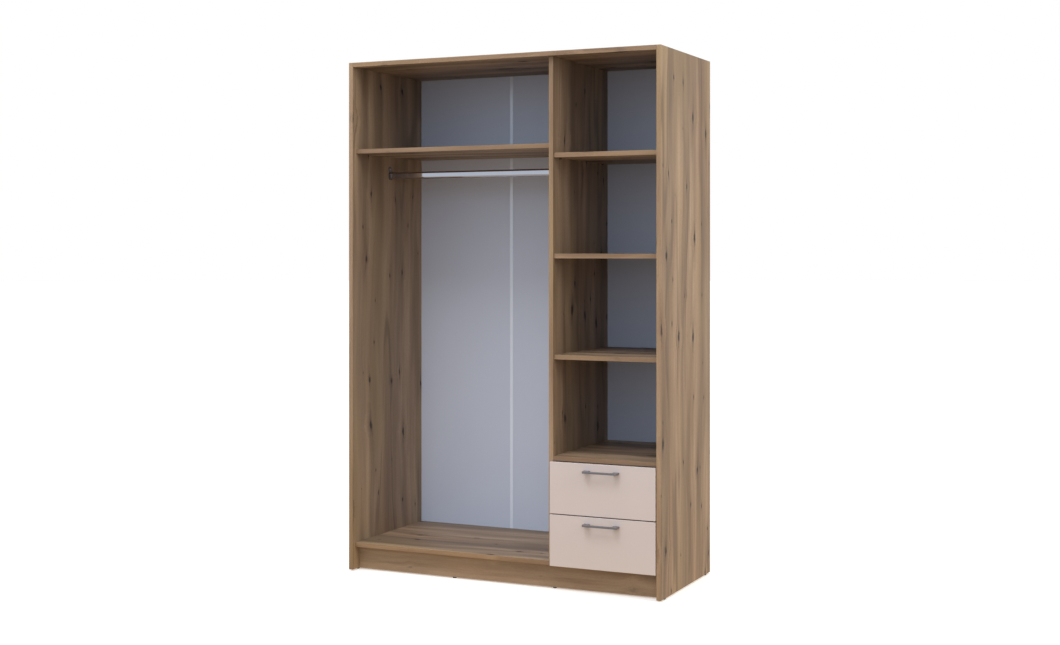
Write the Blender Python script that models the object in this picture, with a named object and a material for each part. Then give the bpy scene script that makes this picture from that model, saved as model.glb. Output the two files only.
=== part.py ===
"""Open-fronted wardrobe with a hanging bay, a shelf bay and two drawers on ball-bearing runners.

Metres, +Z up, front towards -Y. The origin is on the floor, under the middle of the whole box.
Boards that touch keep FIT_GAP between them.
"""

import math

import bmesh
import bpy
from mathutils import Matrix, Vector

# Overall
WIDTH = 1.350                 # over the two sides
SIDE_HEIGHT = 2.065           # of the side boards, without the glides
DEPTH = 0.580                 # from the sides' front edges to the rear face of the back
BOARD = 0.018                 # thickness of the oak boards
BACK_SHEET = 0.003            # thickness of the back and of the drawer bottoms
FIT_GAP = 0.0003              # left between pieces that touch
EDGE_ROUND = 0.0006           # rounding of a board's edges
SHEET_ROUND = 0.0003          # rounding of a thin sheet's edges

# Layout of the carcass
HANGING_BAY = 0.867           # clear width of the left bay
HAT_SPACE = 0.333             # clear height over the hat shelf
DRAWER_OPENING = 0.385        # clear height between the bottom panel and the shelf over the drawers
SHELF_NAMES = ("lower", "middle", "upper")    # loose shelves in the right bay, at equal distances
PLINTH_HEIGHT = 0.090
PLINTH_SETBACK = 0.050        # of the front plinth, behind the sides' front edges
PLINTH_REAR_INSET = 0.018     # of the rear plinth, in front of the sides' rear edges
SHELF_SETBACK = 0.008         # of a shelf, behind the partition's front edge
SHELF_REAR_GAP = 0.003        # between a shelf and the back
SHELF_SIDE_GAP = 0.0008       # at each end of a loose shelf

# Back
BACK_EDGE_INSET = 0.002       # of the back's outline, inside the carcass
BACK_JOINT_AT = 0.459         # of the joint strip, from the left side's outer face
BACK_BUTT_GAP = 0.001         # between two sheets nailed to the partition
STRIP_WIDTH = 0.014
STRIP_WALL = 0.0008

# Glides
GLIDE_HEIGHT = 0.005
GLIDE_EDGE_INSET = 0.001      # between a glide and the faces of the board over it
GLIDE_CHAMFER = 0.0018        # of the sole's edge, at 45 degrees
GLIDE_FRONT_INSET = 0.055
GLIDE_REAR_INSET = 0.045
PLINTH_GLIDE_PITCH = 0.438

# Hanging rail
RAIL_HEIGHT = 0.030
RAIL_WIDTH = 0.015
RAIL_WALL = 0.0012
RAIL_DROP = 0.079             # from the hat shelf's underside to the rail's centre
BRACKET_PLATE = 0.0022
BRACKET_WALL = 0.0018
BRACKET_REACH = 0.011         # of the cradle, out from the board
BRACKET_TAB = 0.022           # of the screw tab, above the rail
BRACKET_CORNER = 0.004

# Drawer fronts
FRONT_BOARD = 0.016
FRONT_REAR_GAP = 0.004        # between a front and the edges behind it
FRONT_SIDE_GAP = 0.0033       # between a front and the right side, and to the partition's centre line
FRONT_EDGE_GAP = 0.002        # above the upper front, and up to the lower front from the bottom's underside
FRONT_BETWEEN_GAP = 0.004
FRONT_ROUND = 0.001

# Drawer boxes
BOX_BOARD = 0.016
BOX_BELOW_HANDLE = 0.0225     # from the handle's centre down to the box's upper edge
BOX_FLOOR_GAP = 0.0067        # under the lower drawer's bottom sheet
BOX_REAR_SPACE = 0.050        # between a drawer box and the back

# Handles
HANDLE_PITCH = 0.128          # between the two screws
HANDLE_END = 0.0075           # from a screw's centre to the handle's end
HANDLE_REACH = 0.030          # out from the front
HANDLE_HEIGHT = 0.008
HANDLE_BAR = 0.0075           # thickness of the grip
HANDLE_FOOT = 0.024           # width of each foot
HANDLE_CORNER = 0.008
HANDLE_INNER_CORNER = 0.007
HANDLE_ROUND = 0.0012
HANDLE_DROP = 0.029           # of the handle's centre, below the front's upper edge

# Handle screws
SCREW_RADIUS = 0.002
SCREW_IN_HANDLE = 0.008
SCREW_HEAD_RADIUS = 0.004
SCREW_HEAD_HEIGHT = 0.0024
SCREW_CLEARANCE = 0.0003
SCREW_TIP_ROOM = 0.002        # of the threaded hole, beyond the screw's tip

# Runners
RUNNER_THICKNESS = 0.0127
RUNNER_HEIGHT = 0.045
RUNNER_SHEET = 0.0012
RUNNER_RACE = 0.0032          # between two members, where the balls run
RUNNER_STEP = 0.0020          # between the webs of two members
RUNNER_END_INSET = 0.005      # at each end of the drawer box
RUNNER_RISE = 0.045           # of the runner's centre, above the box's lower edge

# Smoothness of round shapes
ARC_STEPS = 8                 # faces along one arc
GLIDE_STEPS = 24              # faces round a glide
SCREW_STEPS = 20              # faces round a screw and its holes

# What follows from these sizes
LEFT = -WIDTH / 2
RIGHT = WIDTH / 2
SIDE_DEPTH = DEPTH - BACK_SHEET - FIT_GAP
STRIP_PROUD = FIT_GAP + STRIP_WALL
FRONT = (HANDLE_REACH - DEPTH - STRIP_PROUD) / 2
SIDE_REAR = FRONT + SIDE_DEPTH
BACK_FRONT = SIDE_REAR + FIT_GAP
BACK_REAR = BACK_FRONT + BACK_SHEET
BASE = GLIDE_HEIGHT
TOP = BASE + SIDE_HEIGHT
INNER_LEFT = LEFT + BOARD
INNER_RIGHT = RIGHT - BOARD
INNER_FRONT = FRONT + FRONT_BOARD + FRONT_REAR_GAP
PARTITION_LEFT = INNER_LEFT + HANGING_BAY
PARTITION_RIGHT = PARTITION_LEFT + BOARD
PARTITION_CENTRE = (PARTITION_LEFT + PARTITION_RIGHT) / 2
BOTTOM_UNDERSIDE = BASE + PLINTH_HEIGHT
FLOOR = BOTTOM_UNDERSIDE + BOARD
CEILING = TOP - BOARD
HAT_TOP = CEILING - HAT_SPACE
HAT_UNDERSIDE = HAT_TOP - BOARD
DRAWER_CEILING = FLOOR + DRAWER_OPENING
DRAWER_SHELF_TOP = DRAWER_CEILING + BOARD
BAY_HEIGHT = (CEILING - DRAWER_SHELF_TOP - len(SHELF_NAMES) * BOARD) / (len(SHELF_NAMES) + 1)
SHELF_FRONT = INNER_FRONT + SHELF_SETBACK
SHELF_REAR = BACK_FRONT - SHELF_REAR_GAP
PLINTH_FRONT_REAR = FRONT + PLINTH_SETBACK + BOARD
PLINTH_REAR_FRONT = SIDE_REAR - PLINTH_REAR_INSET - BOARD
BACK_JOINT = LEFT + BACK_JOINT_AT
FRONT_BOTTOM = BOTTOM_UNDERSIDE + FRONT_EDGE_GAP
FRONT_HEIGHT = (DRAWER_CEILING - FRONT_EDGE_GAP - FRONT_BOTTOM - FRONT_BETWEEN_GAP) / 2
FRONT_LEFT = PARTITION_CENTRE + FRONT_SIDE_GAP
FRONT_RIGHT = INNER_RIGHT - FRONT_SIDE_GAP
BOX_LEFT = PARTITION_RIGHT + RUNNER_THICKNESS + 2 * FIT_GAP
BOX_RIGHT = INNER_RIGHT - RUNNER_THICKNESS - 2 * FIT_GAP
BOX_RISE = FLOOR + BOX_FLOOR_GAP + BACK_SHEET + FIT_GAP - FRONT_BOTTOM
BOX_HEIGHT = FRONT_HEIGHT - HANDLE_DROP - BOX_BELOW_HANDLE - BOX_RISE
BOX_FRONT = FRONT + FRONT_BOARD + FIT_GAP
BOX_REAR = BACK_FRONT - BOX_REAR_SPACE
RUNNER_FRONT = BOX_FRONT + RUNNER_END_INSET
RUNNER_REAR = BOX_REAR - RUNNER_END_INSET
HANDLE_CENTRE = (FRONT_LEFT + FRONT_RIGHT) / 2
HANDLE_LENGTH = HANDLE_PITCH + 2 * HANDLE_END
GLIDE_RADIUS = BOARD / 2 - GLIDE_EDGE_INSET
RAIL_Y = (INNER_FRONT + BACK_FRONT) / 2
RAIL_Z = HAT_UNDERSIDE - RAIL_DROP


def clear_scene():
    for old in list(bpy.data.objects):
        bpy.data.objects.remove(old, do_unlink=True)


def make_material(name, colour, roughness, metallic=0.0):
    material = bpy.data.materials.new(name)
    material.use_nodes = True
    shader = material.node_tree.nodes["Principled BSDF"]
    shader.inputs["Base Color"].default_value = (*colour, 1.0)
    shader.inputs["Roughness"].default_value = roughness
    shader.inputs["Metallic"].default_value = metallic
    return material


def add_object(name, shape, material, parent=None, origin=(0, 0, 0)):
    """Links a bmesh given in world coordinates as an object whose origin is at the given point."""
    place = Vector(origin)
    bmesh.ops.translate(shape, verts=shape.verts, vec=-place)
    bmesh.ops.recalc_face_normals(shape, faces=shape.faces)
    mesh = bpy.data.meshes.new(name)
    shape.to_mesh(mesh)
    shape.free()
    mesh.materials.append(material)
    piece = bpy.data.objects.new(name, mesh)
    bpy.context.scene.collection.objects.link(piece)
    piece.location = place
    if parent:
        piece.parent = parent
        piece.location = place - parent.location
    return piece


def add_empty(name, place):
    empty = bpy.data.objects.new(name, None)
    bpy.context.scene.collection.objects.link(empty)
    empty.location = place
    return empty


def add_bevel(piece, width, segments=1):
    bevel = piece.modifiers.new("edge_round", "BEVEL")
    bevel.width = width
    bevel.segments = segments
    bevel.limit_method = "ANGLE"
    bevel.angle_limit = math.radians(40)


def shade_round(piece):
    piece.data.shade_smooth()
    piece.data.set_sharp_from_angle(angle=math.radians(35))


def box_shape(low, high):
    """A closed box between two corners."""
    shape = bmesh.new()
    size = Vector(high) - Vector(low)
    middle = (Vector(high) + Vector(low)) / 2
    bmesh.ops.create_cube(shape, size=1, matrix=Matrix.Translation(middle) @ Matrix.Diagonal((*size, 1)))
    return shape


def board(name, low, high, material, parent=None, edge=EDGE_ROUND):
    """A board with rounded edges; its origin is its centre."""
    centre = (Vector(high) + Vector(low)) / 2
    piece = add_object(name, box_shape(low, high), material, parent, centre)
    add_bevel(piece, edge)
    return piece


def prism_shape(outline, start, along):
    """A closed prism: a flat outline of 3-D points, moved to start and extruded by the vector along."""
    shape = bmesh.new()
    corners = [shape.verts.new(Vector(start) + Vector(point)) for point in outline]
    face = shape.faces.new(corners)
    made = bmesh.ops.extrude_face_region(shape, geom=[face])["geom"]
    moved = [item for item in made if isinstance(item, bmesh.types.BMVert)]
    bmesh.ops.translate(shape, verts=moved, vec=Vector(along))
    return shape


def arc(centre_u, centre_v, radius, start, end, steps=ARC_STEPS):
    """Points of an arc in a plane, both ends included; angles are in degrees."""
    points = []
    for step in range(steps + 1):
        angle = math.radians(start + (end - start) * step / steps)
        points.append((centre_u + radius * math.cos(angle), centre_v + radius * math.sin(angle)))
    return points


def turned_shape(profile, steps):
    """A closed solid turned about the Z axis from (radius, height) points, the first and last on the axis."""
    shape = bmesh.new()
    points = [shape.verts.new((radius, 0, height)) for radius, height in profile]
    edges = [shape.edges.new(pair) for pair in zip(points, points[1:])]
    bmesh.ops.spin(shape, geom=points + edges, axis=(0, 0, 1), cent=(0, 0, 0), angle=2 * math.pi, steps=steps,
                   use_merge=True, use_duplicate=False)
    bmesh.ops.remove_doubles(shape, verts=shape.verts, dist=0.00001)
    return shape


def combine(piece, helper, operation):
    """Cuts the helper out of the piece, or joins it on, and hides the helper."""
    helper.hide_render = True
    helper.display_type = "WIRE"
    boolean = piece.modifiers.new(helper.name, "BOOLEAN")
    boolean.operation = operation
    boolean.solver = "EXACT"
    boolean.object = helper


def cut_screw_hole(piece, name, start_y, end_y, x, z, material):
    """Cuts a round hole along Y that clears a handle screw."""
    radius = SCREW_RADIUS + SCREW_CLEARANCE
    outline = [(u, 0, v) for u, v in arc(0, 0, radius, 0, 360, SCREW_STEPS)[:-1]]
    shape = prism_shape(outline, (x, start_y, z), (0, end_y - start_y, 0))
    combine(piece, add_object(name, shape, material), "DIFFERENCE")


def make_carcass(oak):
    board("side_left", (LEFT, FRONT, BASE), (INNER_LEFT, SIDE_REAR, TOP), oak)
    board("side_right", (INNER_RIGHT, FRONT, BASE), (RIGHT, SIDE_REAR, TOP), oak)
    left = INNER_LEFT + FIT_GAP
    right = INNER_RIGHT - FIT_GAP
    board("top_panel", (left, FRONT, CEILING), (right, SIDE_REAR, TOP), oak)
    board("bottom_panel", (left, INNER_FRONT, BOTTOM_UNDERSIDE), (right, SIDE_REAR, FLOOR), oak)
    board("partition", (PARTITION_LEFT, INNER_FRONT, FLOOR + FIT_GAP),
          (PARTITION_RIGHT, SIDE_REAR, CEILING - FIT_GAP), oak)


def make_plinth(oak):
    left = INNER_LEFT + FIT_GAP
    right = INNER_RIGHT - FIT_GAP
    top = BOTTOM_UNDERSIDE - FIT_GAP
    board("plinth_front", (left, FRONT + PLINTH_SETBACK, BASE), (right, PLINTH_FRONT_REAR, top), oak)
    board("plinth_rear", (left, PLINTH_REAR_FRONT, BASE),
          (right, PLINTH_REAR_FRONT + BOARD, top), oak)
    board("plinth_brace", (PARTITION_LEFT, PLINTH_FRONT_REAR + FIT_GAP, BASE),
          (PARTITION_RIGHT, PLINTH_REAR_FRONT - FIT_GAP, top), oak)


def make_shelves(oak):
    board("hat_shelf", (INNER_LEFT + FIT_GAP, SHELF_FRONT, HAT_UNDERSIDE),
          (PARTITION_LEFT - FIT_GAP, SHELF_REAR, HAT_TOP), oak)
    board("drawer_top_shelf", (PARTITION_RIGHT + FIT_GAP, INNER_FRONT, DRAWER_CEILING),
          (INNER_RIGHT - FIT_GAP, SHELF_REAR, DRAWER_SHELF_TOP), oak)
    for number, name in enumerate(SHELF_NAMES):
        underside = DRAWER_SHELF_TOP + BAY_HEIGHT + number * (BAY_HEIGHT + BOARD)
        board("shelf_" + name, (PARTITION_RIGHT + SHELF_SIDE_GAP, SHELF_FRONT, underside),
              (INNER_RIGHT - SHELF_SIDE_GAP, SHELF_REAR, underside + BOARD), oak)


def make_back(white_sheet, white_plastic):
    low = BOTTOM_UNDERSIDE + BACK_EDGE_INSET
    high = TOP - BACK_EDGE_INSET
    beside_strip = STRIP_WALL / 2 + FIT_GAP
    beside_partition = BACK_BUTT_GAP / 2
    spans = {
        "back_panel_left": (LEFT + BACK_EDGE_INSET, BACK_JOINT - beside_strip),
        "back_panel_middle": (BACK_JOINT + beside_strip, PARTITION_CENTRE - beside_partition),
        "back_panel_right": (PARTITION_CENTRE + beside_partition, RIGHT - BACK_EDGE_INSET),
    }
    for name, (left, right) in spans.items():
        board(name, (left, BACK_FRONT, low), (right, BACK_REAR, high), white_sheet, edge=SHEET_ROUND)
    make_joint_strip(white_plastic)


def make_joint_strip(white_plastic):
    """An H section: a flange before the sheets, a flange behind them and a web between their edges."""
    half_width = STRIP_WIDTH / 2
    half_web = STRIP_WALL / 2
    front = BACK_FRONT - STRIP_PROUD
    front_inner = BACK_FRONT - FIT_GAP
    rear_inner = BACK_REAR + FIT_GAP
    rear = BACK_REAR + STRIP_PROUD
    half = [(half_width, front), (half_width, front_inner), (half_web, front_inner),
            (half_web, rear_inner), (half_width, rear_inner), (half_width, rear)]
    outline = [(x, y, 0) for x, y in half] + [(-x, y, 0) for x, y in reversed(half)]
    low = FLOOR + FIT_GAP
    high = CEILING - FIT_GAP
    shape = prism_shape(outline, (BACK_JOINT, 0, low), (0, 0, high - low))
    add_object("back_joint_strip", shape, white_plastic, origin=(BACK_JOINT, BACK_FRONT, low))


def make_glides(black_plastic):
    top = GLIDE_HEIGHT - FIT_GAP
    sole = GLIDE_RADIUS - GLIDE_CHAMFER
    profile = [(0, 0), (sole, 0), (GLIDE_RADIUS, GLIDE_CHAMFER), (GLIDE_RADIUS, top), (0, top)]
    front = FRONT + GLIDE_FRONT_INSET
    rear = SIDE_REAR - GLIDE_REAR_INSET
    plinth_front = FRONT + PLINTH_SETBACK + BOARD / 2
    plinth_rear = PLINTH_REAR_FRONT + BOARD / 2
    places = {
        "glide_left_front": (LEFT + BOARD / 2, front),
        "glide_left_rear": (LEFT + BOARD / 2, rear),
        "glide_right_front": (RIGHT - BOARD / 2, front),
        "glide_right_rear": (RIGHT - BOARD / 2, rear),
        "glide_plinth_front_left": (PARTITION_CENTRE - PLINTH_GLIDE_PITCH, plinth_front),
        "glide_plinth_front_right": (PARTITION_CENTRE, plinth_front),
        "glide_plinth_rear_left": (PARTITION_CENTRE - PLINTH_GLIDE_PITCH, plinth_rear),
        "glide_plinth_rear_right": (PARTITION_CENTRE, plinth_rear),
    }
    for name, (x, y) in places.items():
        glide = add_object(name, turned_shape(profile, GLIDE_STEPS), black_plastic)
        glide.location = (x, y, 0)
        shade_round(glide)


def stadium(height, width, grow=0.0):
    """Points of an upright oval with straight sides, as (y, z) pairs about its centre."""
    radius = width / 2
    lift = height / 2 - radius
    return arc(0, lift, radius + grow, 0, 180) + arc(0, -lift, radius + grow, 180, 360)


def make_rail(chrome, bracket_metal):
    plate_room = BRACKET_PLATE + 2 * FIT_GAP
    start = INNER_LEFT + plate_room
    length = HANGING_BAY - 2 * plate_room
    outer = [(0, y, z) for y, z in stadium(RAIL_HEIGHT, RAIL_WIDTH)]
    rail = add_object("hanging_rail", prism_shape(outer, (start, RAIL_Y, RAIL_Z), (length, 0, 0)), chrome,
                      origin=(start + length / 2, RAIL_Y, RAIL_Z))
    inner = [(0, y, z) for y, z in stadium(RAIL_HEIGHT, RAIL_WIDTH, -RAIL_WALL)]
    bore_start = (start - BRACKET_PLATE, RAIL_Y, RAIL_Z)
    bore_shape = prism_shape(inner, bore_start, (length + 2 * BRACKET_PLATE, 0, 0))
    combine(rail, add_object("rail_bore", bore_shape, chrome), "DIFFERENCE")
    shade_round(rail)
    make_bracket("rail_bracket_left", INNER_LEFT + FIT_GAP, 1, bracket_metal)
    make_bracket("rail_bracket_right", PARTITION_LEFT - FIT_GAP, -1, bracket_metal)


def make_bracket(name, wall, out, metal):
    """A plate against the board with a cradle under the rail; out is the direction away from the board."""
    grow = FIT_GAP + BRACKET_WALL
    half_width = RAIL_WIDTH / 2 + grow
    straight = RAIL_HEIGHT / 2 - RAIL_WIDTH / 2
    tab_top = RAIL_HEIGHT / 2 + BRACKET_TAB
    corner = BRACKET_CORNER
    plate = arc(0, -straight, half_width, 180, 360)
    plate += arc(half_width - corner, tab_top - corner, corner, 0, 90)
    plate += arc(-half_width + corner, tab_top - corner, corner, 90, 180)
    foot = (wall, RAIL_Y, RAIL_Z)
    plate_shape = prism_shape([(0, y, z) for y, z in plate], foot, (out * BRACKET_PLATE, 0, 0))
    bracket = add_object(name, plate_shape, metal, origin=foot)
    inner_width = half_width - BRACKET_WALL
    cradle = arc(0, -straight, half_width, 180, 360) + [(half_width, straight), (inner_width, straight)]
    cradle += arc(0, -straight, inner_width, 360, 180) + [(-inner_width, straight), (-half_width, straight)]
    sink = out * BRACKET_PLATE / 2
    cradle_shape = prism_shape([(0, y, z) for y, z in cradle], (wall + sink, RAIL_Y, RAIL_Z),
                               (out * BRACKET_REACH - sink, 0, 0))
    combine(bracket, add_object(name + "_cradle", cradle_shape, metal), "UNION")
    shade_round(bracket)


def make_drawer(level, front_bottom, materials):
    """One drawer, on an empty that slides along -Y with its origin at the front's centre."""
    front_top = front_bottom + FRONT_HEIGHT
    slide = add_empty("drawer_" + level + "_slide", (HANDLE_CENTRE, FRONT, front_bottom + FRONT_HEIGHT / 2))
    name = "drawer_" + level + "_"
    front = board(name + "front", (FRONT_LEFT, FRONT, front_bottom),
                  (FRONT_RIGHT, FRONT + FRONT_BOARD, front_top), materials["cashmere"], slide, FRONT_ROUND)
    make_box(name, front_bottom + BOX_RISE, slide, materials)
    handle_z = front_top - HANDLE_DROP
    handle = make_handle(name + "handle", handle_z, slide, materials["graphite"])
    for side, x in (("left", HANDLE_CENTRE - HANDLE_PITCH / 2), ("right", HANDLE_CENTRE + HANDLE_PITCH / 2)):
        make_handle_screw(name, side, x, handle_z, slide, front, handle, materials["zinc"])
    return slide


def make_box(name, bottom, slide, materials):
    """Two sides with the inner front and the back between them, on a thin bottom."""
    white = materials["drawer_board"]
    top = bottom + BOX_HEIGHT
    inner_left = BOX_LEFT + BOX_BOARD
    inner_right = BOX_RIGHT - BOX_BOARD
    board(name + "side_left", (BOX_LEFT, BOX_FRONT, bottom), (inner_left, BOX_REAR, top), white, slide)
    board(name + "side_right", (inner_right, BOX_FRONT, bottom), (BOX_RIGHT, BOX_REAR, top), white, slide)
    left = inner_left + FIT_GAP
    right = inner_right - FIT_GAP
    board(name + "inner_front", (left, BOX_FRONT, bottom), (right, BOX_FRONT + BOX_BOARD, top), white, slide)
    board(name + "back", (left, BOX_REAR - BOX_BOARD, bottom), (right, BOX_REAR, top), white, slide)
    sheet_top = bottom - FIT_GAP
    board(name + "bottom", (BOX_LEFT, BOX_FRONT, sheet_top - BACK_SHEET), (BOX_RIGHT, BOX_REAR, sheet_top),
          materials["white_sheet"], slide, SHEET_ROUND)


def handle_outline():
    """The handle seen from above: a grip with rounded outer corners, on two wide feet."""
    half = HANDLE_LENGTH / 2
    base = -FIT_GAP
    front = -HANDLE_REACH
    grip_rear = front + HANDLE_BAR
    inner = half - HANDLE_FOOT
    outer = arc(half - HANDLE_CORNER, front + HANDLE_CORNER, HANDLE_CORNER, 0, -90)
    hollow = arc(inner - HANDLE_INNER_CORNER, grip_rear + HANDLE_INNER_CORNER, HANDLE_INNER_CORNER, -90, 0)
    right = [(0, front)] + list(reversed(outer)) + [(half, base), (inner, base)]
    right += list(reversed(hollow)) + [(0, grip_rear)]
    left = [(-x, y) for x, y in reversed(right[1:-1])]
    return right + left


def make_handle(name, z, slide, graphite):
    low = z - HANDLE_HEIGHT / 2
    outline = [(x, y, 0) for x, y in handle_outline()]
    shape = prism_shape(outline, (HANDLE_CENTRE, FRONT, low), (0, 0, HANDLE_HEIGHT))
    handle = add_object(name, shape, graphite, slide, (HANDLE_CENTRE, FRONT, z))
    add_bevel(handle, HANDLE_ROUND, 2)
    shade_round(handle)
    return handle


def make_handle_screw(name, side, x, z, slide, front, handle, zinc):
    """An M4 screw from behind the front into the handle's foot, with the holes that it needs."""
    tip = FRONT - SCREW_IN_HANDLE
    under_head = FRONT + FRONT_BOARD + FIT_GAP
    screw_name = name + "handle_screw_" + side
    profile = [(0, tip), (SCREW_RADIUS, tip), (SCREW_RADIUS, under_head), (SCREW_HEAD_RADIUS, under_head),
               (SCREW_HEAD_RADIUS, under_head + SCREW_HEAD_HEIGHT / 2),
               (SCREW_HEAD_RADIUS / 2, under_head + SCREW_HEAD_HEIGHT), (0, under_head + SCREW_HEAD_HEIGHT)]
    shape = turned_shape(profile, SCREW_STEPS)
    turn = Matrix.Rotation(math.radians(-90), 4, "X")
    bmesh.ops.transform(shape, matrix=Matrix.Translation((x, 0, z)) @ turn, verts=shape.verts)
    screw = add_object(screw_name, shape, zinc, slide, (x, FRONT, z))
    shade_round(screw)
    before = FRONT - FRONT_ROUND
    behind = FRONT + FRONT_BOARD + FRONT_ROUND
    cut_screw_hole(front, screw_name + "_hole", before, behind, x, z, zinc)
    cut_screw_hole(handle, screw_name + "_thread", tip - SCREW_TIP_ROOM, FRONT, x, z, zinc)


def channel(height, near, far, web_at_far):
    """A C section as (distance from the board, z) points, with its web on the near or the far side."""
    half = height / 2
    inner = half - RUNNER_SHEET
    web, open_side = (far, near) if web_at_far else (near, far)
    web_inner = web + math.copysign(RUNNER_SHEET, open_side - web)
    return [(web, -half), (open_side, -half), (open_side, -inner), (web_inner, -inner),
            (web_inner, inner), (open_side, inner), (open_side, half), (web, half)]


def runner_sections():
    """The three members' sections, each inside the one before it."""
    middle_height = RUNNER_HEIGHT - 2 * (RUNNER_SHEET + RUNNER_RACE)
    drawer_height = middle_height - 2 * (RUNNER_SHEET + RUNNER_RACE)
    middle_near = RUNNER_SHEET + RUNNER_STEP
    drawer_near = middle_near + RUNNER_SHEET + RUNNER_STEP
    middle_far = RUNNER_THICKNESS - RUNNER_SHEET - RUNNER_STEP / 2
    return {
        "cabinet": channel(RUNNER_HEIGHT, 0, RUNNER_THICKNESS - RUNNER_STEP, False),
        "middle": channel(middle_height, middle_near, middle_far, False),
        "drawer": channel(drawer_height, drawer_near, RUNNER_THICKNESS, True),
    }


def make_runner(level, side, wall, out, z, parents, zinc):
    """The three members of one runner; out is the direction from the carcass board to the drawer."""
    for member, section in runner_sections().items():
        outline = [(out * reach, 0, height) for reach, height in section]
        shape = prism_shape(outline, (wall, RUNNER_FRONT, z), (0, RUNNER_REAR - RUNNER_FRONT, 0))
        name = "runner_" + level + "_" + side + "_" + member
        add_object(name, shape, zinc, parents[member], (wall, RUNNER_FRONT, z))


def make_drawers(materials):
    levels = {"lower": FRONT_BOTTOM, "upper": FRONT_BOTTOM + FRONT_HEIGHT + FRONT_BETWEEN_GAP}
    for level, front_bottom in levels.items():
        slide = make_drawer(level, front_bottom, materials)
        z = front_bottom + BOX_RISE + RUNNER_RISE
        middle_slide = add_empty("runner_" + level + "_slide", (HANDLE_CENTRE, RUNNER_FRONT, z))
        parents = {"cabinet": None, "middle": middle_slide, "drawer": slide}
        make_runner(level, "left", PARTITION_RIGHT + FIT_GAP, 1, z, parents, materials["zinc"])
        make_runner(level, "right", INNER_RIGHT - FIT_GAP, -1, z, parents, materials["zinc"])


def make_materials():
    return {
        "oak": make_material("oak_decor", (0.36, 0.23, 0.13), 0.55),
        "cashmere": make_material("cashmere_front", (0.60, 0.50, 0.45), 0.45),
        "drawer_board": make_material("drawer_board", (0.75, 0.74, 0.72), 0.55),
        "white_sheet": make_material("white_sheet", (0.78, 0.79, 0.82), 0.55),
        "white_plastic": make_material("white_plastic", (0.85, 0.86, 0.88), 0.4),
        "black_plastic": make_material("black_plastic", (0.02, 0.02, 0.02), 0.5),
        "chrome": make_material("chrome", (0.80, 0.81, 0.83), 0.12, 1.0),
        "graphite": make_material("graphite_metal", (0.12, 0.11, 0.11), 0.35, 0.8),
        "zinc": make_material("zinc_plate", (0.55, 0.56, 0.58), 0.35, 1.0),
    }


def main():
    clear_scene()
    materials = make_materials()
    make_carcass(materials["oak"])
    make_plinth(materials["oak"])
    make_shelves(materials["oak"])
    make_back(materials["white_sheet"], materials["white_plastic"])
    make_glides(materials["black_plastic"])
    make_rail(materials["chrome"], materials["zinc"])
    make_drawers(materials)


main()
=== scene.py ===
"""Looks of an open-fronted wardrobe with two drawers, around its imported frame. Metres, +Z up."""
import math
from collections import namedtuple

import bmesh
import bpy
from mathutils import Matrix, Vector


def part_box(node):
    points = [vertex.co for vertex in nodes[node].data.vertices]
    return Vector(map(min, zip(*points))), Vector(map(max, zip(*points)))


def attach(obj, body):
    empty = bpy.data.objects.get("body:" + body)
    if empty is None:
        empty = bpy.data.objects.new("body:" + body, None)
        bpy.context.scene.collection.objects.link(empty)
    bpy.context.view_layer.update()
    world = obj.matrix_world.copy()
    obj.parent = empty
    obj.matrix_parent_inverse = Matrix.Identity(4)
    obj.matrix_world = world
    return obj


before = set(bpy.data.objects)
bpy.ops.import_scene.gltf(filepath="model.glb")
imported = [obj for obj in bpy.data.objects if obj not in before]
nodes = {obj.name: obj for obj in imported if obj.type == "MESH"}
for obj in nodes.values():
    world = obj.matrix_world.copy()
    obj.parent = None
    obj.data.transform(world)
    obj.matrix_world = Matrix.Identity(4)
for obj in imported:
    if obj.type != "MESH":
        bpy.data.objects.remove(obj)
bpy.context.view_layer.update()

X, Y, Z = 0, 1, 2
RIGHTWARD, LEFTWARD = (1, 0, 0), (-1, 0, 0)
BACKWARD, FRONTWARD = (0, 1, 0), (0, -1, 0)
UP, DOWN = (0, 0, 1), (0, 0, -1)
WHITE = (1.0, 1.0, 1.0)


# ---------------------------------------------------------------- node wiring

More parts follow.
